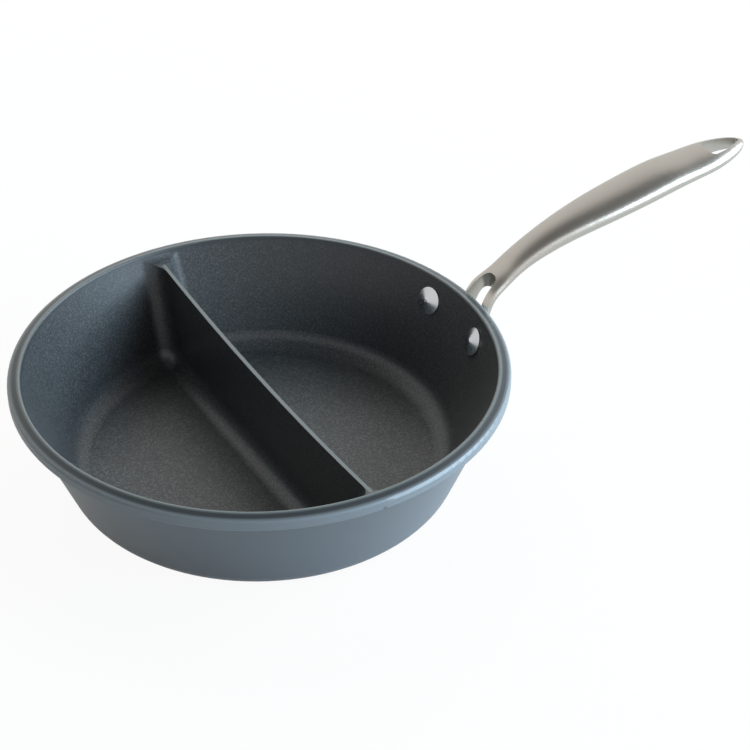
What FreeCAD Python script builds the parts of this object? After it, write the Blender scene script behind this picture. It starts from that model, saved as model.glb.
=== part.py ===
# A divided saucepan: one cast aluminium pan with a wall across its middle, and one cast
# stainless-steel handle held by two rivets. Millimetres, Z up. The origin is the centre of
# the flat base, the handle points along +X and the divider runs along Y.

import FreeCAD, Part
import math
import os

import Sketcher

PARTS_FOLDER = "parts"
# A sketch's own numbers for its axes, and for the two ends of a line.
V_AXIS, H_AXIS = range(-2, 0)
START, END = range(1, 3)
# Points that lie closer than this count as one.
NEAR = 0.001

# Plain numbers: lengths in millimetres, slopes in degrees.
SIZES = [
    # The pan
    ("mouth_radius", 127.2),
    ("pan_height", 67.7),
    ("wall_flare", 21.8),
    ("wall_thickness", 4.0),
    ("floor_thickness", 7.5),
    ("cove_radius", 13.4),
    ("base_corner_radius", 12.0),
    ("lip_width", 6.8),
    ("lip_drop", 2.2),
    ("lip_depth", 6.0),
    ("lip_edge_radius", 1.7),
    ("lip_under_chamfer", 1.2),
    ("mouth_edge_radius", 1.3),
    # The divider: its top dips in the middle, and rises towards the wall
    ("divider_drop", 11.4),
    ("divider_rise", 5.9),
    ("divider_top_thickness", 2.5),
    ("divider_draft", 2.2),
    ("divider_blend_radius", 10.2),
    ("divider_end_radius", 9.0),
    # The rivets
    ("rivet_angle", 11.2),
    ("rivet_drop", 3.3),
    ("rivet_shank_radius", 3.0),
    ("rivet_hole_clearance", 0.1),
    ("rivet_head_radius", 7.8),
    ("rivet_head_height", 3.0),
    ("rivet_head_edge", 0.8),
    ("rivet_crown_radius", 0.9),
    ("rivet_tail_radius", 4.8),
    ("rivet_tail_height", 1.8),
    ("rivet_tail_edge", 0.6),
    ("rivet_tail_flat_radius", 2.2),
    # The flange on the wall
    ("flange_thickness", 3.5),
    ("flange_height", 16.0),
    ("flange_gap", 2.0),
    ("flange_side_angle", 3.5),
    ("flange_corner_radius", 5.5),
    ("lip_clearance", 0.8),
    # The opening of the fork, with its places measured out from the lip
    ("fork_end_reach", 12.4),
    ("fork_end_half_width", 4.9),
    ("fork_mouth_reach", 0.5),
    ("fork_mouth_half_width", 7.4),
    ("fork_corner_radius", 4.6),
    # The hanging slot
    ("slot_end_wall", 4.2),
    ("slot_length", 21.4),
    ("slot_start_half_width", 7.6),
    ("slot_end_half_width", 1.1),
    ("slot_bulge", 1.5),
    ("slot_start_corner", 2.4),
    ("slot_end_corner", 0.9),
    # The tip of the handle, out from the lip and up from the mouth's edge, and its nose
    ("tip_reach", 180.7),
    ("tip_rise", 47.5),
    ("nose_length", 40.0),
    ("nose_fall", 4.8),
    ("nose_width", 28.4),
    ("nose_thickness", 11.6),
    # How square the handle's section is: 2 is an ellipse
    ("fork_squareness", 2.4),
    ("grip_squareness", 2.3),
]

# Stations of the fork: name, distance out from the lip, height over the mouth's edge, width,
# thickness.
FORK_STATIONS = [
    ("root", -22.0, -22.8, 31.0, 7.0),
    ("foot", -14.4, -19.8, 30.0, 8.4),
    ("hook", -6.0, -16.0, 28.0, 8.8),
    ("knee", 0.0, -11.3, 25.6, 8.8),
    ("prong", 3.0, -5.5, 23.4, 8.2),
    ("fork", 6.9, 0.3, 22.0, 7.8),
    ("crotch", 14.8, 5.7, 19.6, 7.8),
]
# Stations of the grip: name, share of the way from the crotch to the nose, share of the climb,
# width, thickness.
GRIP_STATIONS = [
    ("neck", 0.072, 0.162, 18.6, 8.6),
    ("shoulder", 0.178, 0.346, 19.6, 10.2),
    ("rise", 0.327, 0.530, 23.2, 11.6),
    ("swell", 0.502, 0.684, 27.8, 12.6),
    ("palm", 0.708, 0.835, 30.4, 13.2),
    ("heel", 0.883, 0.951, 30.0, 12.8),
]
# Past the crotch, the section turns from the fork's into the grip's over this many stations.
SOFTENING_STATIONS = 4
NOSE_STEPS = (1.0, 0.66, 0.40, 0.21, 0.08, 0.015)
NOSE_WIDTH_POWER = 0.6
NOSE_THICKNESS_POWER = 0.45
# Directions of a section's control points round the handle, in degrees.
SECTION_TURNS = [20 * step + 10 for step in range(18)]

# Tool bodies run past the surface that they cut by this much.
OVERSHOOT = 10.0
# The divider's ends run out into the wall by this much, so no face only grazes another.
RUN_OUT = 0.3

doc = FreeCAD.newDocument("divided_saucepan")


def make_sheet():
    """Write every size to a named cell."""
    table = doc.addObject("Spreadsheet::Sheet", "Sizes")
    rows = list(SIZES)
    for name, along, height, width, thickness in FORK_STATIONS + GRIP_STATIONS:
        rows.append((name + "_along", along))
        rows.append((name + "_up", height))
        rows.append((name + "_width", width))
        rows.append((name + "_thickness", thickness))
    for number, (name, value) in enumerate(rows, start=1):
        table.set("A%d" % number, name)
        table.set("B%d" % number, str(value))
        table.setAlias("B%d" % number, name)
    doc.recompute()
    return table


sheet = make_sheet()


def cell(name):
    """The expression that reads one cell."""
    return "Sizes." + name


def value(expression):
    """The number that an expression stands for."""
    result = sheet.evalExpression(str(expression))
    return float(getattr(result, "Value", result))


def size(name):
    return value(cell(name))


# Expressions that several pieces share, so that they follow the same sizes.

def inner_wall(level):
    """Radius of the pan's inner wall at a height."""
    return "(Sizes.mouth_radius - (Sizes.pan_height - (%s)) * tan(Sizes.wall_flare))" % level


def outer_wall(level, offset="0"):
    """Radius of the pan's outer wall at a height, with an offset square to the wall."""
    return "(%s + (Sizes.wall_thickness + (%s)) / cos(Sizes.wall_flare))" % (inner_wall(level), offset)


LIP_RADIUS = "(Sizes.mouth_radius + Sizes.lip_width)"
LIP_BOTTOM = "(Sizes.pan_height - Sizes.lip_drop - Sizes.lip_depth)"
LIP_EDGE = "(Sizes.pan_height - Sizes.lip_drop)"
ABOVE = "(Sizes.pan_height + %g)" % OVERSHOOT
FLANGE_TOP = "(%s - Sizes.flange_gap)" % LIP_BOTTOM
FLANGE_BOTTOM = "(%s - Sizes.flange_height)" % FLANGE_TOP
RIVET_LEVEL = "(%s - Sizes.rivet_drop)" % FLANGE_TOP
DIVIDER_TOP = "(Sizes.pan_height - Sizes.divider_drop)"
DIVIDER_END = "(%s + Sizes.divider_rise)" % DIVIDER_TOP
TIP_X = "(%s + Sizes.tip_reach)" % LIP_RADIUS
TIP_Z = "(Sizes.pan_height + Sizes.tip_rise)"


def divider_face(level):
    """Half the divider's thickness at a height: it is drafted, as a casting is."""
    below_top = "(%s - (%s))" % (DIVIDER_TOP, level)
    return "(Sizes.divider_top_thickness / 2 + %s * tan(Sizes.divider_draft))" % below_top


def plane(body, role):
    """One of a body's own origin planes."""
    return next(item for item in body.Origin.OriginFeatures if item.Role == role)


def new_body(name):
    body = doc.addObject("PartDesign::Body", name)
    body.Label = name
    return body


def place_point(sketch, geometry, point, expressions):
    """Hold one end of a line at two expressions, or on an axis where one is 0."""
    for kind, axis, expression in zip(("DistanceX", "DistanceY"), (V_AXIS, H_AXIS), expressions):
        if expression == "0":
            sketch.addConstraint(Sketcher.Constraint("PointOnObject", geometry, point, axis))
            continue
        index = sketch.addConstraint(
            Sketcher.Constraint(kind, H_AXIS, START, geometry, point, value(expression))
        )
        sketch.setExpression("Constraints[%d]" % index, expression)


def outline(body, name, role, corners, bulges=None):
    """Closed sketch through corners that are pairs of expressions.

    bulges gives, for a side's number, how far its middle stands out from the chord. A plus sign
    bows the side to the right of its direction.
    """
    bulges = bulges or {}
    sketch = body.newObject("Sketcher::SketchObject", name)
    sketch.AttachmentSupport = (plane(body, role), [""])
    sketch.MapMode = "FlatFace"
    points = [FreeCAD.Vector(value(across), value(up), 0) for across, up in corners]
    sides = []
    for number, start in enumerate(points):
        end = points[(number + 1) % len(points)]
        if number in bulges:
            chord = end - start
            square = FreeCAD.Vector(chord.y, -chord.x, 0).normalize()
            middle = (start + end) * 0.5 + square * value(bulges[number])
            arc = Part.Arc(start, middle, end)
            sides.append(sketch.addGeometry(arc, False))
        else:
            sides.append(sketch.addGeometry(Part.LineSegment(start, end), False))
    ends = []
    for number, side in enumerate(sides):
        geometry = sketch.Geometry[side]
        first = geometry.StartPoint if number not in bulges else sketch.getPoint(side, START)
        forward = first.distanceToPoint(points[number]) < NEAR
        ends.append((START, END) if forward else (END, START))
    for number, side in enumerate(sides):
        following = (number + 1) % len(sides)
        sketch.addConstraint(
            Sketcher.Constraint("Coincident", side, ends[number][1], sides[following], ends[following][0])
        )
        place_point(sketch, side, ends[number][0], corners[number])
    for number, bulge in bulges.items():
        chord = points[(number + 1) % len(points)] - points[number]
        chord_length = chord_expression(corners[number], corners[(number + 1) % len(corners)])
        radius = "((%s) ^ 2 / 4 + (%s) ^ 2) / (2 * (%s))" % (chord_length, bulge, bulge)
        index = sketch.addConstraint(Sketcher.Constraint("Radius", sides[number], value(radius)))
        sketch.setExpression("Constraints[%d]" % index, radius)
    return sketch


def chord_expression(start, end):
    """Length of the straight line between two corners."""
    return "sqrt((%s - %s) ^ 2 + (%s - %s) ^ 2)" % (end[0], start[0], end[1], start[1])


def rounded_corner(before, corner, after, radius):
    """Ends of the arc that rounds a corner, and its bulge. The three corners turn left."""
    arms = []
    for other in (before, after):
        length = chord_expression(corner, other)
        arms.append(["((%s - %s) / %s)" % (other[axis], corner[axis], length) for axis in (0, 1)])
    cosine = "(%s * %s + %s * %s)" % (arms[0][0], arms[1][0], arms[0][1], arms[1][1])
    setback = "(%s * sqrt((1 + %s) / (1 - %s)))" % (radius, cosine, cosine)
    ends = [
        tuple("(%s + %s * %s)" % (corner[axis], setback, arm[axis]) for axis in (0, 1))
        for arm in arms
    ]
    bulge = "(%s * (1 - sqrt((1 - %s) / 2)))" % (radius, cosine)
    return ends[0], ends[1], bulge


def revolve(body, sketch, name):
    feature = body.newObject("PartDesign::Revolution", name)
    feature.Profile = sketch
    feature.ReferenceAxis = (sketch, ["V_Axis"])
    feature.Angle = 360.0
    body.Tip = feature
    doc.recompute()
    return feature


def edges_where(shape, test):
    """Names of the edges whose start, middle and end all pass a test."""
    names = []
    for number, edge in enumerate(shape.Edges, start=1):
        first, last = edge.ParameterRange
        samples = [edge.valueAt(first + (last - first) * part) for part in (0.0, 0.31, 0.5, 0.77, 1.0)]
        if all(test(point) for point in samples):
            names.append("Edge%d" % number)
    return names


def fillet(body, name, test, radius):
    """Round the edges of a body's last feature that pass a test."""
    base = body.Tip
    names = edges_where(base.Shape, test)
    if not names:
        raise RuntimeError("no edge found for " + name)
    feature = body.newObject("PartDesign::Fillet", name)
    feature.Base = (base, names)
    feature.Radius = value(radius)
    feature.setExpression("Radius", radius)
    body.Tip = feature
    doc.recompute()
    return feature


def circle_test(radius, level):
    """Passes points on a level circle about the pan's axis."""
    wanted_radius = value(radius)
    wanted_level = value(level)
    return lambda point: (
        abs(math.hypot(point.x, point.y) - wanted_radius) < NEAR and abs(point.z - wanted_level) < NEAR
    )


def aim(item, base, yaw, pitch):
    """Place an object by expressions: a point, a turn about Z and a tilt about Y."""
    for axis, expression in zip("xyz", base):
        item.setExpression("Placement.Base." + axis, expression)
    item.setExpression("Placement.Rotation.Yaw", yaw)
    item.setExpression("Placement.Rotation.Pitch", pitch)


# The pan

def make_compartment(side, name):
    """The space on one side of the divider: a flared dish with one flat, drafted side."""
    body = new_body(name)
    dish = outline(body, name + "_dish", "XZ_Plane", [
        ("0", cell("floor_thickness")),
        (inner_wall(cell("floor_thickness")), cell("floor_thickness")),
        (inner_wall(ABOVE), ABOVE),
        ("0", ABOVE),
    ])
    revolve(body, dish, name + "_turned")
    floor_edge = circle_test(inner_wall(cell("floor_thickness")), cell("floor_thickness"))
    fillet(body, name + "_cove", floor_edge, cell("cove_radius"))

    low = "(Sizes.floor_thickness - %g)" % OVERSHOOT
    high = "(%s + %g)" % (ABOVE, OVERSHOOT)
    other_side = outline(body, name + "_other_side", "XZ_Plane", [
        ("%d * %s" % (side, divider_face(low)), low),
        ("%d * %s" % (side, divider_face(high)), high),
        ("%d * %s" % (-side, LIP_RADIUS), high),
        ("%d * %s" % (-side, LIP_RADIUS), low),
    ])
    pocket = body.newObject("PartDesign::Pocket", name + "_halved")
    pocket.Profile = other_side
    pocket.Type = "ThroughAll"
    pocket.SideType = "Symmetric"
    body.Tip = pocket
    doc.recompute()

    top = value(ABOVE)
    slope = math.tan(math.radians(size("divider_draft")))
    half_top = size("divider_top_thickness") / 2
    divider_top = value(DIVIDER_TOP)

    def on_divider(point):
        face = side * (half_top + (divider_top - point.z) * slope)
        return abs(point.x - face) < NEAR

    top_edges = set(edges_where(pocket.Shape, lambda point: abs(point.z - top) < NEAR))
    foot_and_ends = [edge for edge in edges_where(pocket.Shape, on_divider) if edge not in top_edges]
    blend = body.newObject("PartDesign::Fillet", name + "_blend")
    blend.Base = (pocket, foot_and_ends)
    blend.Radius = size("divider_blend_radius")
    blend.setExpression("Radius", cell("divider_blend_radius"))
    body.Tip = blend
    doc.recompute()
    return body


def make_mouth():
    """The space over the divider: its top edge dips in the middle and sweeps up into the wall."""
    body = new_body("space_over_divider")
    end_y = "(%s + %g)" % (inner_wall(DIVIDER_END), RUN_OUT)
    top_y = "(%s + %g)" % (inner_wall(ABOVE), RUN_OUT)
    side_view = outline(body, "divider_top_line", "YZ_Plane", [
        ("-" + end_y, DIVIDER_END),
        (end_y, DIVIDER_END),
        (top_y, ABOVE),
        ("-" + top_y, ABOVE),
    ], {0: cell("divider_rise")})
    pad = body.newObject("PartDesign::Pad", "space_over_divider_pad")
    pad.Profile = side_view
    pad.SideType = "Symmetric"
    width = "Sizes.divider_top_thickness + 4 * Sizes.divider_blend_radius"
    pad.Length = value(width)
    pad.setExpression("Length", width)
    body.Tip = pad
    doc.recompute()

    wanted_y = value(end_y)
    wanted_z = value(DIVIDER_END)

    def at_end(point):
        return abs(abs(point.y) - wanted_y) < NEAR and abs(point.z - wanted_z) < NEAR

    fillet(body, "divider_end_sweep", at_end, cell("divider_end_radius"))

    low = "(%s - %g)" % (DIVIDER_TOP, OVERSHOOT)
    high = "(%s + %g)" % (ABOVE, OVERSHOOT)
    beyond_wall = outline(body, "beyond_wall", "XZ_Plane", [
        (inner_wall(low), low),
        ("(2 * %s)" % LIP_RADIUS, low),
        ("(2 * %s)" % LIP_RADIUS, high),
        (inner_wall(high), high),
    ])
    groove = body.newObject("PartDesign::Groove", "space_over_divider_trim")
    groove.Profile = beyond_wall
    groove.ReferenceAxis = (beyond_wall, ["V_Axis"])
    groove.Angle = 360.0
    body.Tip = groove
    doc.recompute()
    return body


def rivet_base():
    """Point where a rivet's axis meets the inner wall, for the side with a plus sign."""
    radius = inner_wall(RIVET_LEVEL)
    return (
        "%s * cos(Sizes.rivet_angle)" % radius,
        "%s * sin(Sizes.rivet_angle)" % radius,
        RIVET_LEVEL,
    )


def drill_rivet_hole(cylinder, side):
    """Size and place a rivet's hole: it runs inwards along the rivet's axis, from outside."""
    reach = "3 * (Sizes.wall_thickness + Sizes.flange_thickness)"
    cylinder.setExpression("Radius", "Sizes.rivet_shank_radius + Sizes.rivet_hole_clearance")
    cylinder.setExpression("Height", "1.5 * " + reach)
    across, aside, level = rivet_base()
    outwards = "%s * cos(Sizes.wall_flare)" % reach
    base = (
        "%s + %s * cos(Sizes.rivet_angle)" % (across, outwards),
        "%d * (%s + %s * sin(Sizes.rivet_angle))" % (side, aside, outwards),
        "%s - %s * sin(Sizes.wall_flare)" % (level, reach),
    )
    aim(cylinder, base, "%d * (Sizes.rivet_angle - 180)" % side, "90 - Sizes.wall_flare")


def make_pan():
    """The whole casting: blank, two compartments, the divider left between them, two holes."""
    tools = [
        make_compartment(1, "compartment_by_handle"),
        make_compartment(-1, "compartment_far"),
        make_mouth(),
    ]
    body = new_body("pan_body")
    crown_radius = "(Sizes.mouth_radius - %g)" % OVERSHOOT
    crown = "(Sizes.pan_height + %g * Sizes.lip_drop / Sizes.lip_width)" % OVERSHOOT
    chamfer_top = "(%s + Sizes.lip_under_chamfer)" % LIP_BOTTOM
    round_start, round_end, round_bulge = rounded_corner(
        (LIP_RADIUS, chamfer_top), (LIP_RADIUS, LIP_EDGE), (crown_radius, crown), cell("lip_edge_radius")
    )
    blank = outline(body, "pan_section", "XZ_Plane", [
        ("0", "0"),
        (outer_wall("0"), "0"),
        (outer_wall(LIP_BOTTOM), LIP_BOTTOM),
        ("(%s - Sizes.lip_under_chamfer)" % LIP_RADIUS, LIP_BOTTOM),
        (LIP_RADIUS, chamfer_top),
        round_start,
        round_end,
        (crown_radius, crown),
        ("0", crown),
    ], {5: round_bulge})
    revolve(body, blank, "pan_turned")
    fillet(body, "base_corner", circle_test(outer_wall("0"), "0"), cell("base_corner_radius"))

    hollow = body.newObject("PartDesign::Boolean", "pan_hollowed")
    doc.recompute()
    hollow.setObjects(tools)
    hollow.Type = "Cut"
    body.Tip = hollow
    doc.recompute()

    for side, name in ((1, "left"), (-1, "right")):
        hole = body.newObject("PartDesign::SubtractiveCylinder", "wall_hole_" + name)
        drill_rivet_hole(hole, side)
        body.Tip = hole
        doc.recompute()
        if hole.Shape.isNull():
            raise RuntimeError("%s: %s" % (hole.Name, hole.getStatusString()))

    mouth_edge = circle_test(cell("mouth_radius"), cell("pan_height"))
    fillet(body, "mouth_edge", mouth_edge, cell("mouth_edge_radius"))
    return body


# The rivets

HEAD_SEAT = (
    "(%s / cos(Sizes.wall_flare) - sqrt((%s / cos(Sizes.wall_flare)) ^ 2 - Sizes.rivet_head_radius ^ 2))"
    % (inner_wall(RIVET_LEVEL), inner_wall(RIVET_LEVEL))
)


def make_rivet(side, name):
    """A solid rivet turned about its own axis: low conical head inside, shank, set head outside."""
    body = new_body(name)
    seat = "-" + HEAD_SEAT
    grip = "(Sizes.wall_thickness + Sizes.flange_thickness)"
    rim = "(%s - Sizes.rivet_head_edge)" % seat
    crown = "(%s - Sizes.rivet_head_height)" % seat
    tail_rim = "(%s + Sizes.rivet_tail_edge)" % grip
    tail_top = "(%s + Sizes.rivet_tail_height)" % grip
    profile = outline(body, name + "_section", "XZ_Plane", [
        (crown, "0"),
        (tail_top, "0"),
        (tail_top, cell("rivet_tail_flat_radius")),
        (tail_rim, cell("rivet_tail_radius")),
        (grip, cell("rivet_tail_radius")),
        (grip, cell("rivet_shank_radius")),
        (seat, cell("rivet_shank_radius")),
        (seat, cell("rivet_head_radius")),
        (rim, cell("rivet_head_radius")),
        (crown, cell("rivet_crown_radius")),
    ])
    turned = body.newObject("PartDesign::Revolution", name + "_turned")
    turned.Profile = profile
    turned.ReferenceAxis = (profile, ["H_Axis"])
    turned.Angle = 360.0
    body.Tip = turned
    doc.recompute()
    across, aside, level = rivet_base()
    base = (across, "%d * %s" % (side, aside), level)
    aim(body, base, "%d * Sizes.rivet_angle" % side, cell("wall_flare"))
    doc.recompute()
    return body


# The handle

def fork_and_grip_rows():
    """Distance from the pan's axis, height, width and thickness of each section but the nose's."""
    rows = []
    for name, *_ in FORK_STATIONS:
        along = value(LIP_RADIUS) + size(name + "_along")
        height = size("pan_height") + size(name + "_up")
        rows.append((along, height, size(name + "_width"), size(name + "_thickness")))
    crotch_x, crotch_z = rows[-1][:2]
    nose_x, nose_z = nose_row(1.0)[:2]
    for name, *_ in GRIP_STATIONS:
        along = crotch_x + (nose_x - crotch_x) * size(name + "_along")
        height = crotch_z + (nose_z - crotch_z) * size(name + "_up")
        rows.append((along, height, size(name + "_width"), size(name + "_thickness")))
    return rows


def nose_row(step):
    """The same four for the section at a share of the nose's length from the tip."""
    fullness = 1.0 - (1.0 - step) ** 2
    width = size("nose_width") * fullness ** NOSE_WIDTH_POWER
    thickness = size("nose_thickness") * fullness ** NOSE_THICKNESS_POWER
    along = value(TIP_X) - size("nose_length") * step
    return along, value(TIP_Z) - size("nose_fall") * step, width, thickness


def squareness(number):
    """The fork's flat section softens to the grip's rounder one."""
    run = (number - len(FORK_STATIONS) + 1) / SOFTENING_STATIONS
    share = min(max(run, 0.0), 1.0)
    return size("fork_squareness") * (1.0 - share) + size("grip_squareness") * share


def section_wire(centre, direction, width, thickness, power):
    """Closed rounded section square to the handle's middle line."""
    up = FreeCAD.Vector(-direction.z, 0, direction.x).normalize()
    side = FreeCAD.Vector(0, 1, 0)
    # A cubic curve lies a little inside its control points.
    reach = 1.5 / (2.0 + math.cos(2.0 * math.pi / len(SECTION_TURNS)))
    points = []
    for turn in map(math.radians, SECTION_TURNS):
        across = math.copysign(abs(math.cos(turn)) ** (2.0 / power), math.cos(turn)) * width * reach
        rise = math.copysign(abs(math.sin(turn)) ** (2.0 / power), math.sin(turn)) * thickness * reach
        points.append(centre + side * across + up * rise)
    curve = Part.BSplineCurve()
    curve.buildFromPoles(points, True, 3)
    return Part.Wire([curve.toShape()])


def make_grip():
    """The long curved bar, lofted through its sections from the flange to the tip."""
    rows = fork_and_grip_rows() + [nose_row(step) for step in NOSE_STEPS]
    centres = [FreeCAD.Vector(row[0], 0, row[1]) for row in rows]
    middle = Part.BSplineCurve()
    middle.interpolate(centres)
    sections = []
    for number, (centre, row) in enumerate(zip(centres, rows)):
        direction = middle.tangent(middle.parameter(centre))[0]
        section = doc.addObject("Part::Feature", "grip_section_%02d" % number)
        section.Shape = section_wire(centre, direction, row[2], row[3], squareness(number))
        sections.append(section)
    grip = doc.addObject("Part::Loft", "grip")
    grip.Sections = sections
    grip.Solid = True
    grip.Ruled = False
    doc.recompute()
    return grip


def make_flange():
    """The pad that lies on the outside of the wall, turned to the wall's own curve."""
    body = new_body("flange")
    inside = "-Sizes.wall_thickness / 2"
    profile = outline(body, "flange_section", "XZ_Plane", [
        (outer_wall(FLANGE_BOTTOM, inside), FLANGE_BOTTOM),
        (outer_wall(FLANGE_BOTTOM, cell("flange_thickness")), FLANGE_BOTTOM),
        (outer_wall(FLANGE_TOP, cell("flange_thickness")), FLANGE_TOP),
        (outer_wall(FLANGE_TOP, inside), FLANGE_TOP),
    ])
    sweep = body.newObject("PartDesign::Revolution", "flange_turned")
    sweep.Profile = profile
    sweep.ReferenceAxis = (profile, ["V_Axis"])
    sweep.Midplane = True
    angle = "2 * (Sizes.rivet_angle + Sizes.flange_side_angle)"
    sweep.Angle = value(angle)
    sweep.setExpression("Angle", angle)
    body.Tip = sweep
    doc.recompute()

    half_angle = math.radians(value(angle) / 2)
    levels = (value(FLANGE_BOTTOM), value(FLANGE_TOP))

    def at_corner(point):
        level = min(abs(point.z - height) for height in levels)
        aside = abs(abs(point.y) - point.x * math.tan(half_angle))
        return level < NEAR and aside < NEAR

    fillet(body, "flange_corners", at_corner, cell("flange_corner_radius"))
    return body


def make_pan_space():
    """Everything that the pan fills, with room round its lip: the handle is cut clear of it."""
    body = new_body("space_of_pan")
    low = "-%g" % OVERSHOOT
    under_lip = "(%s - Sizes.lip_clearance)" % LIP_BOTTOM
    past_lip = "(%s + Sizes.lip_clearance)" % LIP_RADIUS
    high = "(2 * Sizes.pan_height)"
    profile = outline(body, "space_of_pan_section", "XZ_Plane", [
        ("0", low),
        (outer_wall(low), low),
        (outer_wall(under_lip), under_lip),
        (past_lip, under_lip),
        (past_lip, high),
        ("0", high),
    ])
    revolve(body, profile, "space_of_pan_turned")
    return body


def padded_opening(name, corners, bulges):
    """An opening through the handle from top to bottom."""
    body = new_body(name)
    plan = outline(body, name + "_plan", "XY_Plane", corners, bulges)
    pad = body.newObject("PartDesign::Pad", name + "_pad")
    pad.Profile = plan
    height = "2 * " + TIP_Z
    pad.Length = value(height)
    pad.setExpression("Length", height)
    body.Tip = pad
    doc.recompute()
    return body


def vertical_at(along, aside):
    """Passes points of an upright edge at a place in plan, on either side."""
    wanted_x = value(along)
    wanted_y = value(aside)
    return lambda point: abs(point.x - wanted_x) < NEAR and abs(abs(point.y) - wanted_y) < NEAR


def make_fork_opening():
    """The gap between the two prongs, round at its closed end and open towards the pan."""
    inner_x = "(%s + Sizes.root_along - %g)" % (LIP_RADIUS, OVERSHOOT)
    mouth_x = "(%s + Sizes.fork_mouth_reach)" % LIP_RADIUS
    end_x = "(%s + Sizes.fork_end_reach)" % LIP_RADIUS
    body = padded_opening("fork_opening", [
        (inner_x, "-Sizes.fork_mouth_half_width"),
        (mouth_x, "-Sizes.fork_mouth_half_width"),
        (end_x, "-Sizes.fork_end_half_width"),
        (end_x, cell("fork_end_half_width")),
        (mouth_x, cell("fork_mouth_half_width")),
        (inner_x, cell("fork_mouth_half_width")),
    ], {})
    closed_end = vertical_at(end_x, cell("fork_end_half_width"))
    fillet(body, "fork_closed_end", closed_end, cell("fork_corner_radius"))
    return body


def make_hanging_slot():
    """The drop-shaped hole near the tip, narrow towards the tip."""
    end_x = "(%s - Sizes.slot_end_wall)" % TIP_X
    start_x = "(%s - Sizes.slot_length)" % end_x
    body = padded_opening("hanging_slot", [
        (start_x, "-Sizes.slot_start_half_width"),
        (end_x, "-Sizes.slot_end_half_width"),
        (end_x, cell("slot_end_half_width")),
        (start_x, cell("slot_start_half_width")),
    ], {0: cell("slot_bulge"), 2: cell("slot_bulge"), 3: cell("slot_bulge")})
    start = vertical_at(start_x, cell("slot_start_half_width"))
    fillet(body, "slot_start_corners", start, cell("slot_start_corner"))
    end = vertical_at(end_x, cell("slot_end_half_width"))
    fillet(body, "slot_end_corners", end, cell("slot_end_corner"))
    return body


def boolean(kind, name, base, tool):
    result = doc.addObject(kind, name)
    result.Base = base
    result.Tool = tool
    result.Refine = False
    doc.recompute()
    return result


def make_handle():
    """The handle's casting: a forked, curved grip on a flange, with a slot to hang it by."""
    forked = boolean("Part::Cut", "forked_grip", make_grip(), make_fork_opening())
    pan_space = make_pan_space()
    clear_grip = boolean("Part::Cut", "grip_clear_of_pan", forked, pan_space)
    seated_flange = boolean("Part::Cut", "flange_on_wall", make_flange(), pan_space)
    joined = boolean("Part::Fuse", "grip_on_flange", clear_grip, seated_flange)
    openings = [make_hanging_slot()]
    for side, name in ((1, "left"), (-1, "right")):
        hole = doc.addObject("Part::Cylinder", "flange_hole_" + name)
        drill_rivet_hole(hole, side)
        openings.append(hole)
    cutters = doc.addObject("Part::MultiFuse", "handle_openings")
    cutters.Shapes = openings
    doc.recompute()
    handle = boolean("Part::Cut", "handle", joined, cutters)
    handle.Label = "handle"
    return handle


def check_document():
    """Stop if any object failed or has a bad shape."""
    for item in doc.Objects:
        if "Invalid" in item.State or "Error" in item.State:
            raise RuntimeError("%s failed: %s" % (item.Name, item.State))


def export(nodes):
    os.makedirs(PARTS_FOLDER, exist_ok=True)
    for node in nodes:
        if node.Shape.isNull() or not node.Shape.isValid():
            raise RuntimeError(node.Label + " has no valid shape")
        if len(node.Shape.Solids) != 1:
            raise RuntimeError("%s is %d solids" % (node.Label, len(node.Shape.Solids)))
    for node in nodes:
        node.Shape.exportStep(os.path.join(PARTS_FOLDER, node.Label + ".step"))
        box = node.Shape.BoundBox
        print(
            "%-12s volume %9.0f mm3, x %.1f to %.1f, y %.1f to %.1f, z %.1f to %.1f"
            % (node.Label, node.Shape.Volume, box.XMin, box.XMax, box.YMin, box.YMax, box.ZMin, box.ZMax)
        )


pan_body = make_pan()
handle = make_handle()
rivet_left = make_rivet(1, "rivet_left")
rivet_right = make_rivet(-1, "rivet_right")
doc.recompute()
check_document()
export([pan_body, handle, rivet_left, rivet_right])
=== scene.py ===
# A divided saucepan on a white sweep: a cast aluminium pan under a non-stick coating, with a wall
# across its middle, and a cast steel handle on two rivets. The CAD solids carry the shape; this
# script gives them their finishes and sets up the studio. Lengths are in metres unless a name says
# mm.

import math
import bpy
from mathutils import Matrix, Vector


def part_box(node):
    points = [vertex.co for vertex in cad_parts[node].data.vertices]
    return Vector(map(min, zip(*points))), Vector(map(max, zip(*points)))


bl_info = {
    "name": "Divided saucepan",
    "version": (1, 0, 0),
    "blender": (4, 5, 0),
    "location": "3D Viewport > Sidebar > Saucepan",
    "description": "Finishes a divided saucepan and sets it in a plain white studio",
    "category": "Object",
}

import bmesh
import bpy
from mathutils import Matrix, Vector

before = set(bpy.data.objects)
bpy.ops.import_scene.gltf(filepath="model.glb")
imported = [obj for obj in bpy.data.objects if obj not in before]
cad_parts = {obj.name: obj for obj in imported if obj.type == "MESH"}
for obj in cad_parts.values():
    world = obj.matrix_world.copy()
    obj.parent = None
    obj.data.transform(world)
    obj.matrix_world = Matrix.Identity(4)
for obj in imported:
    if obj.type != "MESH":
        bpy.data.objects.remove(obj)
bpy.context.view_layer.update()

MM = 0.001

# The pan's own shape, as its solid has it, which tells the coats where they begin and end.
PAN_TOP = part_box("pan_body")[1].z
LIP_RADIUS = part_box("pan_body")[1].x
LIP_BOTTOM = PAN_TOP - 8.2 * MM
MOUTH_RADIUS = LIP_RADIUS - 6.8 * MM
# How much the wall's radius grows with height, and its inner radius at the ground.
WALL_FLARE = 0.4
WALL_FOOT = MOUTH_RADIUS - PAN_TOP * WALL_FLARE

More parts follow.
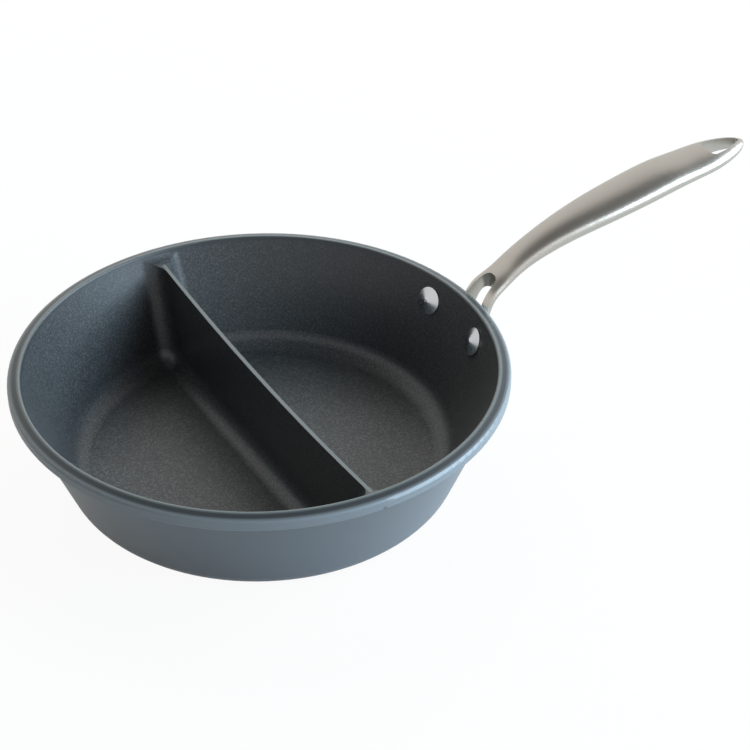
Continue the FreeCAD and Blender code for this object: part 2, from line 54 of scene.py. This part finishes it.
# Each coat, and each place of painted light, fades in from the first number, where there is none
# of it, to the second. One is a distance out from the wall's inner face, five are heights and the
# last is a radius.
WALL_MIDDLE = (1.6 * MM, 2.4 * MM)
UNDER_CREST = (PAN_TOP - 1.0 * MM, PAN_TOP - 1.8 * MM)
BASE = (5.0 * MM, 4.0 * MM)
# The lip's face marks where the lip's outer face is painted paler, as painted light from above.
LIP_FACE = (LIP_BOTTOM - 0.8 * MM, LIP_BOTTOM - 0.4 * MM)
LIP_HEIGHT = (PAN_TOP - 3.8 * MM, PAN_TOP - 3.0 * MM)
# The brink and the mouth place a painted highlight on the mouth's edge.
BRINK = (PAN_TOP - 0.45 * MM, PAN_TOP - 0.1 * MM)
MOUTH = (MOUTH_RADIUS - 1.4 * MM, MOUTH_RADIUS - 0.6 * MM)
# The divider's top gets a painted highlight over this half width, and at these levels, before it
# sweeps up into the wall.
PAINTED_HIGHLIGHT_HALF = 0.95 * MM
RIDGE_MIDDLE = 58.8 * MM
RIDGE_SPREAD = 3.0 * MM

# Each lamp stands at a turn and a rise in degrees round the point that the camera looks at, at a
# distance from it, and is width by height large. Only a lamp that is in gloss is mirrored.
LAMPS = {
    "key": {
        "turn": 58.0, "rise": 28.0, "distance": 1.9, "width": 2.4, "height": 1.2, "watts": 86.0,
        "shade": "#cae2f5", "in_gloss": True,
    },
    "back": {
        "turn": 160.0, "rise": 42.0, "distance": 1.8, "width": 1.8, "height": 1.2, "watts": 32.0,
        "shade": "#fdfcf0", "in_gloss": False,
    },
}
WHITE = "#ffffff"
SENSOR_MM = 36.0
SWEEP_HALF = 6.0

# Sockets of the Mix node. Their names repeat, so they go by number.
SHARE = 0
NUMBER_A, NUMBER_B, NUMBER_OUT = 2, 3, 0
COLOUR_A, COLOUR_B, COLOUR_OUT = 6, 7, 2


def linear(value):
    """Linear RGBA from an sRGB hex value."""
    channels = [int(value[place:place + 2], 16) / 255 for place in (1, 3, 5)]
    return [c / 12.92 if c <= 0.04045 else ((c + 0.055) / 1.055) ** 2.4 for c in channels] + [1.0]


def colour(name, value, description):
    return bpy.props.FloatVectorProperty(
        name=name, description=description, subtype="COLOR", size=4, min=0, max=1,
        default=linear(value)
    )


class SaucepanCoating(bpy.types.PropertyGroup):
    inside: colour("Inside", "#36383a", "Non-stick coating inside the pan")
    fleck: colour("Fleck", "#626666", "Paler mineral grain in the inside coating")
    lip: colour("Lip", "#34383a", "Smooth coating over the lip")
    # Edge is a painted highlight along the mouth's edge and the divider's top.
    edge: colour("Edge", "#676c6c", "Rubbed coating on the mouth's edge and the divider's top")
    outside: colour("Outside", "#6e757a", "Smooth coating outside the pan")
    # Lip's face is painted light: the lip's outer face is drawn paler, as if lit from above.
    face: colour("Lip's face", "#868d91", "Thinner coating on the lip's outer face")
    grain_mm: bpy.props.FloatProperty(
        name="Grain", description="Size of the inside coating's grain in millimetres",
        default=1.0, min=0.2
    )


class SaucepanSteel(bpy.types.PropertyGroup):
    handle: colour("Handle", "#b9b3aa", "Cast stainless steel of the handle")
    rivet: colour("Rivet", "#c4c6c8", "Stainless steel of the rivets")
    brush_mm: bpy.props.FloatProperty(
        name="Brush", description="Spacing of the handle's brush marks in millimetres",
        default=0.5, min=0.1
    )


class SaucepanStudio(bpy.types.PropertyGroup):
    azimuth: bpy.props.FloatProperty(
        name="Azimuth", description="Camera's turn about the pan", subtype="ANGLE",
        default=math.radians(-29.8)
    )
    elevation: bpy.props.FloatProperty(
        name="Elevation", description="Camera's height above the horizon", subtype="ANGLE",
        default=math.radians(35.242)
    )
    roll: bpy.props.FloatProperty(
        name="Roll", description="Camera's turn about its own line", subtype="ANGLE",
        default=math.radians(0.223)
    )
    distance: bpy.props.FloatProperty(
        name="Distance", description="From the camera to the point it looks at", unit="LENGTH",
        default=1254.22 * MM
    )
    target: bpy.props.FloatVectorProperty(
        name="Target", description="Point the camera looks at", subtype="XYZ", unit="LENGTH",
        size=3, default=(73.64 * MM, 5.21 * MM, 30.0 * MM)
    )
    lens_mm: bpy.props.FloatProperty(
        name="Lens", description="Focal length on a 36 mm sensor, in millimetres",
        default=108.0, min=20
    )
    floor: colour("Floor", "#dedede", "Matt paper of the sweep")


def node(tree, kind, sockets=None, **settings):
    """Add one node. A socket takes a number, a colour or another node's output."""
    made = tree.nodes.new(kind)
    for name, value in settings.items():
        setattr(made, name, value)
    for name, value in (sockets or {}).items():
        if isinstance(value, bpy.types.NodeSocket):
            tree.links.new(value, made.inputs[name])
        else:
            made.inputs[name].default_value = value
    return made


def new_material(name):
    material = bpy.data.materials.new(name)
    material.use_nodes = True
    material.node_tree.nodes.clear()
    return material, material.node_tree


def wear_material(obj, material):
    """Give a CAD node its finish in every material slot."""
    if not obj.data.materials:
        obj.data.materials.append(material)
    for number in range(len(obj.data.materials)):
        obj.data.materials[number] = material


class SAUCEPAN_OT_finish_pan(bpy.types.Operator):
    """Coat the pan: grained non-stick inside, smooth blue-grey outside"""

    bl_idname = "saucepan.finish_pan"
    bl_label = "Finish the pan"

    def execute(self, context):
        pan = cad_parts["pan_body"]
        wear_material(pan, coating_material(context.scene.saucepan_coating))
        return {"FINISHED"}


class SAUCEPAN_OT_finish_handle(bpy.types.Operator):
    """Finish the handle in satin cast steel"""

    bl_idname = "saucepan.finish_handle"
    bl_label = "Finish the handle"

    def execute(self, context):
        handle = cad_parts["handle"]
        wear_material(handle, handle_material(context.scene.saucepan_steel))
        return {"FINISHED"}


class SAUCEPAN_OT_finish_rivets(bpy.types.Operator):
    """Finish the two rivets in tumbled steel"""

    bl_idname = "saucepan.finish_rivets"
    bl_label = "Finish the rivets"

    def execute(self, context):
        for name in ("rivet_left", "rivet_right"):
            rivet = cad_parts[name]
            wear_material(rivet, rivet_material(context.scene.saucepan_steel))
        return {"FINISHED"}


def coating_shares(tree, place):
    """How much of each coat or painted light lies at a place: the lip's, the shell's outside it,
    the painted light that makes the lip's outer face paler and the painted highlight on the edges."""
    axes = node(tree, "ShaderNodeSeparateXYZ", {"Vector": place}).outputs
    level = node(tree, "ShaderNodeCombineXYZ", {"X": axes["X"], "Y": axes["Y"]})
    radius = node(
        tree, "ShaderNodeVectorMath", {0: level.outputs["Vector"]}, operation="LENGTH"
    ).outputs["Value"]
    wall = node(
        tree, "ShaderNodeMath", {0: axes["Z"], 1: WALL_FLARE, 2: WALL_FOOT},
        operation="MULTIPLY_ADD"
    )
    into_wall = node(
        tree, "ShaderNodeMath", {0: radius, 1: wall.outputs["Value"]}, operation="SUBTRACT"
    ).outputs["Value"]
    fades = {}
    for name, value, (start, full) in (
        ("outer half", into_wall, WALL_MIDDLE),
        ("under the crest", axes["Z"], UNDER_CREST),
        ("base", axes["Z"], BASE),
        ("face", axes["Z"], LIP_FACE),
        ("lip's height", axes["Z"], LIP_HEIGHT),
        ("brink", axes["Z"], BRINK),
        ("from the mouth out", radius, MOUTH),
    ):
        fades[name] = node(
            tree, "ShaderNodeMapRange", {"Value": value, "From Min": start, "From Max": full}
        ).outputs["Result"]

    # The shell is the wall's and the lip's outer half, and the base.
    side = node(
        tree, "ShaderNodeMath", {0: fades["outer half"], 1: fades["under the crest"]},
        operation="MULTIPLY"
    )
    shell = node(
        tree, "ShaderNodeMath", {0: side.outputs["Value"], 1: fades["base"]}, operation="MAXIMUM"
    ).outputs["Value"]
    lip = node(
        tree, "ShaderNodeMath", {0: fades["from the mouth out"], 1: fades["lip's height"]},
        operation="MULTIPLY"
    ).outputs["Value"]
    # Painted highlights lie on the mouth's edge and the divider's top.
    thin = node(
        tree, "ShaderNodeMath", {0: axes["X"], 1: 0.0, 2: PAINTED_HIGHLIGHT_HALF}, operation="COMPARE"
    )
    ridge = node(
        tree, "ShaderNodeMath", {0: axes["Z"], 1: RIDGE_MIDDLE, 2: RIDGE_SPREAD},
        operation="COMPARE"
    )
    divider = node(
        tree, "ShaderNodeMath", {0: thin.outputs["Value"], 1: ridge.outputs["Value"]},
        operation="MULTIPLY"
    )
    edge = node(
        tree, "ShaderNodeMath", {0: divider.outputs["Value"], 1: fades["brink"]},
        operation="MAXIMUM"
    ).outputs["Value"]
    return lip, shell, fades["face"], edge


def coating_material(sizes):
    # PTFE non-stick sprayed and baked on blasted cast aluminium. Inside it is charcoal with a fine
    # grain that breaks its gloss, over the lip it is smooth charcoal, and outside it is a smooth
    # satin blue-grey. Sharp edges get a painted highlight, and the lip's outer face painted light
    # that makes it paler.
    material, tree = new_material("sprayed_non_stick")
    place = node(tree, "ShaderNodeTexCoord").outputs["Object"]
    lip, shell, face, edge = coating_shares(tree, place)
    # The grain is about 0.3 mm across on a real pan, too fine for the picture, and is drawn
    # coarser.
    grain = node(tree, "ShaderNodeTexNoise", {
        "Vector": place, "Scale": 1.0 / (sizes.grain_mm * MM), "Detail": 3.0, "Roughness": 0.65,
    }).outputs["Fac"]
    speckle = node(
        tree, "ShaderNodeMapRange", {"Value": grain, "From Min": 0.45, "From Max": 0.75}
    ).outputs["Result"]
    # The outside's blue-grey, painted paler on the lip's outer face as painted light.
    grey = node(
        tree, "ShaderNodeMix", {SHARE: face, COLOUR_A: sizes.outside, COLOUR_B: sizes.face},
        data_type="RGBA"
    ).outputs[COLOUR_OUT]
    # Each coat and each painted highlight covers the ones before it.
    coat = sizes.inside
    for share, paint in (
        (speckle, sizes.fleck), (lip, sizes.lip), (shell, grey), (edge, sizes.edge)
    ):
        coat = node(
            tree, "ShaderNodeMix", {SHARE: share, COLOUR_A: coat, COLOUR_B: paint},
            data_type="RGBA"
        ).outputs[COLOUR_OUT]
    # The grain makes the inside bumpy. The lip and the shell are smooth, and a little less shiny.
    smooth = node(tree, "ShaderNodeMath", {0: lip, 1: shell}, operation="MAXIMUM").outputs["Value"]
    rough = node(tree, "ShaderNodeMapRange", {"Value": smooth, "To Min": 0.33, "To Max": 0.36})
    depth = node(tree, "ShaderNodeMapRange", {"Value": smooth, "To Min": 0.35, "To Max": 0.04})
    bump = node(tree, "ShaderNodeBump", {
        "Height": grain, "Strength": depth.outputs["Result"], "Distance": 0.12 * MM,
    })
    shader = node(tree, "ShaderNodeBsdfPrincipled", {
        "Base Color": coat, "Roughness": rough.outputs["Result"], "IOR": 1.5,
        "Normal": bump.outputs["Normal"],
    })
    node(tree, "ShaderNodeOutputMaterial", {"Surface": shader.outputs["BSDF"]})
    return material


def handle_material(sizes):
    # Cast stainless steel, ground and brushed along its length, so highlights spread across it.
    material, tree = new_material("brushed_cast_steel")
    place = node(tree, "ShaderNodeTexCoord").outputs["Object"]
    # Brush marks are some 0.1 mm wide, and are drawn coarser. They run on for about 17 mm.
    across = 1.0 / (sizes.brush_mm * MM)
    along = 0.03 * across
    stretched = node(
        tree, "ShaderNodeMapping", {"Vector": place, "Scale": (along, across, across)}
    )
    marks = node(tree, "ShaderNodeTexNoise", {
        "Vector": stretched.outputs["Vector"], "Scale": 1.0, "Detail": 2.0,
    }).outputs["Fac"]
    # Wide soft clouds of polish are about 15 mm across, and count for less than the marks.
    clouds = node(
        tree, "ShaderNodeTexNoise", {"Vector": place, "Scale": 1.0 / (15.0 * MM), "Detail": 1.0}
    ).outputs["Fac"]
    mixed = node(
        tree, "ShaderNodeMath", {0: clouds, 1: 0.4, 2: marks}, operation="MULTIPLY_ADD"
    ).outputs["Value"]
    rough = node(tree, "ShaderNodeMapRange", {
        "Value": mixed, "From Min": 0.4, "From Max": 1.0, "To Min": 0.3, "To Max": 0.38,
    })
    bump = node(tree, "ShaderNodeBump", {
        "Height": marks, "Strength": 0.12, "Distance": 0.02 * MM,
    })
    shader = node(tree, "ShaderNodeBsdfPrincipled", {
        "Base Color": sizes.handle, "Metallic": 1.0, "Roughness": rough.outputs["Result"],
        "Normal": bump.outputs["Normal"],
    })
    node(tree, "ShaderNodeOutputMaterial", {"Surface": shader.outputs["BSDF"]})
    return material


def rivet_material(sizes):
    # Stainless steel, upset and tumbled to a soft shine with fine dents about 1.5 mm across.
    material, tree = new_material("tumbled_steel")
    place = node(tree, "ShaderNodeTexCoord").outputs["Object"]
    dents = node(
        tree, "ShaderNodeTexNoise", {"Vector": place, "Scale": 1.0 / (1.5 * MM), "Detail": 2.0}
    ).outputs["Fac"]
    rough = node(tree, "ShaderNodeMapRange", {"Value": dents, "To Min": 0.2, "To Max": 0.32})
    bump = node(tree, "ShaderNodeBump", {
        "Height": dents, "Strength": 0.2, "Distance": 0.05 * MM,
    })
    shader = node(tree, "ShaderNodeBsdfPrincipled", {
        "Base Color": sizes.rivet, "Metallic": 1.0, "Roughness": rough.outputs["Result"],
        "Normal": bump.outputs["Normal"],
    })
    node(tree, "ShaderNodeOutputMaterial", {"Surface": shader.outputs["BSDF"]})
    return material


class SAUCEPAN_OT_set_studio(bpy.types.Operator):
    """Set the white sweep, the soft lamps and the camera"""

    bl_idname = "saucepan.set_studio"
    bl_label = "Set the studio"

    def execute(self, context):
        studio = context.scene.saucepan_studio
        make_sweep(studio)
        light_world(context.scene)
        for name, lamp in LAMPS.items():
            add_lamp(name, Vector(studio.target), **lamp)
        add_camera(context.scene, studio)
        context.scene.view_settings.view_transform = "Standard"
        return {"FINISHED"}


def direction(azimuth, elevation):
    """Unit vector towards a place round the object; azimuth 0 is in front, towards -Y."""
    return Vector((
        math.sin(azimuth) * math.cos(elevation),
        -math.cos(azimuth) * math.cos(elevation),
        math.sin(elevation),
    ))


def add_lamp(name, target, turn, rise, distance, width, height, watts, shade, in_gloss):
    data = bpy.data.lights.new(name, "AREA")
    data.shape = "RECTANGLE"
    data.size = width
    data.size_y = height
    data.energy = watts
    data.color = linear(shade)[:3]
    lamp = bpy.data.objects.new(name, data)
    bpy.context.scene.collection.objects.link(lamp)
    back = direction(math.radians(turn), math.radians(rise))
    lamp.location = target + back * distance
    lamp.rotation_euler = (-back).to_track_quat("-Z", "Y").to_euler()
    lamp.visible_glossy = in_gloss


def blend_by_ray(tree, scattered, glossy, camera):
    """One strength for light that is scattered, one for gloss and glass, one for the camera."""
    path = node(tree, "ShaderNodeLightPath").outputs
    shiny = node(
        tree, "ShaderNodeMath", {0: path["Is Glossy Ray"], 1: path["Is Transmission Ray"]},
        operation="MAXIMUM"
    )
    strength = scattered
    for share, other in ((shiny.outputs["Value"], glossy), (path["Is Camera Ray"], camera)):
        strength = node(
            tree, "ShaderNodeMix", {SHARE: share, NUMBER_A: strength, NUMBER_B: other}
        ).outputs[NUMBER_OUT]
    return strength


def light_world(scene):
    """White all round, as on a light table; in gloss the studio's ceiling is dim."""
    world = bpy.data.worlds.new("studio_air")
    scene.world = world
    world.use_nodes = True
    tree = world.node_tree
    tree.nodes.clear()
    towards = node(tree, "ShaderNodeTexCoord").outputs["Generated"]
    height = node(tree, "ShaderNodeSeparateXYZ", {"Vector": towards}).outputs["Z"]
    # The ceiling dims from 44 degrees up, and is darkest from 60 degrees up.
    ceiling = node(
        tree, "ShaderNodeMapRange",
        {"Value": height, "From Min": 0.70, "From Max": 0.87, "To Min": 1.0, "To Max": 0.2},
        interpolation_type="SMOOTHSTEP"
    ).outputs["Result"]
    air = node(tree, "ShaderNodeBackground", {
        "Color": linear(WHITE),
        "Strength": blend_by_ray(tree, scattered=0.1, glossy=ceiling, camera=1.0),
    })
    node(tree, "ShaderNodeOutputWorld", {"Surface": air.outputs["Background"]})


def make_sweep(studio):
    """A wide floor that keeps the shadow and melts into the white round it."""
    mesh = bpy.data.meshes.new("sweep")
    shape = bmesh.new()
    bmesh.ops.create_grid(shape, x_segments=1, y_segments=1, size=SWEEP_HALF)
    shape.to_mesh(mesh)
    shape.free()
    sweep = bpy.data.objects.new("sweep", mesh)
    # A hair under the base, so that the two faces don't lie in one plane.
    sweep.location.z = -0.1 * MM
    bpy.context.scene.collection.objects.link(sweep)
    # Matt white paper. To the camera most of it glows, so that only a faint shadow is left.
    material, tree = new_material("white_paper")
    paper = node(tree, "ShaderNodeBsdfDiffuse", {"Color": studio.floor})
    glow = node(tree, "ShaderNodeEmission", {"Color": linear(WHITE), "Strength": 1.0})
    surface = node(tree, "ShaderNodeMixShader", {
        0: blend_by_ray(tree, scattered=0.0, glossy=0.4, camera=0.94),
        1: paper.outputs["BSDF"],
        2: glow.outputs["Emission"],
    })
    node(tree, "ShaderNodeOutputMaterial", {"Surface": surface.outputs["Shader"]})
    mesh.materials.append(material)


def add_camera(scene, studio):
    data = bpy.data.cameras.new("camera")
    data.lens = studio.lens_mm
    data.sensor_width = SENSOR_MM
    data.clip_start = 0.05
    data.clip_end = 50.0
    camera = bpy.data.objects.new("camera", data)
    scene.collection.objects.link(camera)
    back = direction(studio.azimuth, studio.elevation)
    right = Vector((math.cos(studio.azimuth), math.sin(studio.azimuth), 0.0))
    up = back.cross(right)
    turn = Matrix((right, up, back)).transposed().to_4x4()
    place = Matrix.Translation(Vector(studio.target) + back * studio.distance)
    camera.matrix_world = place @ turn @ Matrix.Rotation(studio.roll, 4, "Z")
    scene.camera = camera


class SAUCEPAN_PT_tools(bpy.types.Panel):
    """Lists the saucepan's steps and sizes"""

    bl_idname = "SAUCEPAN_PT_tools"
    bl_label = "Divided saucepan"
    bl_space_type = "VIEW_3D"
    bl_region_type = "UI"
    bl_category = "Saucepan"

    def draw(self, context):
        for operator in OPERATORS:
            self.layout.operator(operator.bl_idname)
        for name, group in GROUPS.items():
            box = self.layout.box()
            for value in group.__annotations__:
                box.prop(getattr(context.scene, name), value)


GROUPS = {
    "saucepan_coating": SaucepanCoating,
    "saucepan_steel": SaucepanSteel,
    "saucepan_studio": SaucepanStudio,
}
OPERATORS = (
    SAUCEPAN_OT_finish_pan,
    SAUCEPAN_OT_finish_handle,
    SAUCEPAN_OT_finish_rivets,
    SAUCEPAN_OT_set_studio,
)


def register():
    for name, group in GROUPS.items():
        bpy.utils.register_class(group)
        setattr(bpy.types.Scene, name, bpy.props.PointerProperty(type=group))
    for item in OPERATORS + (SAUCEPAN_PT_tools,):
        bpy.utils.register_class(item)


def unregister():
    for item in reversed(OPERATORS + (SAUCEPAN_PT_tools,)):
        bpy.utils.unregister_class(item)
    for name, group in GROUPS.items():
        delattr(bpy.types.Scene, name)
        bpy.utils.unregister_class(group)


def main():
    register()
    bpy.ops.saucepan.finish_pan()
    bpy.ops.saucepan.finish_handle()
    bpy.ops.saucepan.finish_rivets()
    bpy.ops.saucepan.set_studio()


if __name__ == "__main__":
    main()
